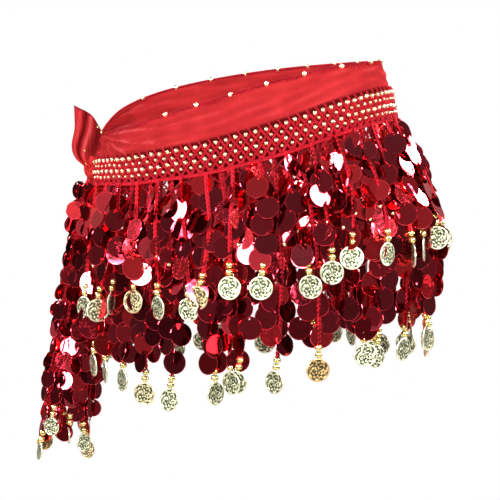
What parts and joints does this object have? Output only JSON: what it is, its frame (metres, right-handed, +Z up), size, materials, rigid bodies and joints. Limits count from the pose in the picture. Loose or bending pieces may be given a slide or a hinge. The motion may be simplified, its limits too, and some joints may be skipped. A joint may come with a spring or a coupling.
{
  "type": "belly dance hip scarf",
  "caption": "Crepe hip scarf tied at the right hip, with a beaded crochet band and two tiers of sequin and coin fringe, hanging hollow as worn.",
  "frame": {"origin": "centre of the ring that the scarf makes round the hips, at the middle height of the bead band's top edge, where the wearer holds it up", "axes": "+Z up the wearer's body, -Y the way the wearer faces, +X towards the wearer's left hip"},
  "size_m": [0.3942, 0.2939, 0.4093],
  "materials": {
    "red_crepe": "thin crepe with a soft sheen, fine weave and small creases",
    "red_yarn": "twisted crochet yarn, matt with short fibres",
    "gold_beads": "small round gold-coloured beads, glossy",
    "wine_sequins": "mirror-like wine red plastic sequins"
  },
  "bodies": {
    "root": {"yoke_cloth": "red_crepe", "yoke_edging": "red_yarn", "bead_band": "gold_beads", "fringe_upper": "wine_sequins", "fringe_lower": "wine_sequins", "fringe_tail": "wine_sequins", "knot": "red_crepe", "tie_end_raised": "red_crepe", "tie_end_hanging": "red_crepe"}
  },
  "joints": []
}
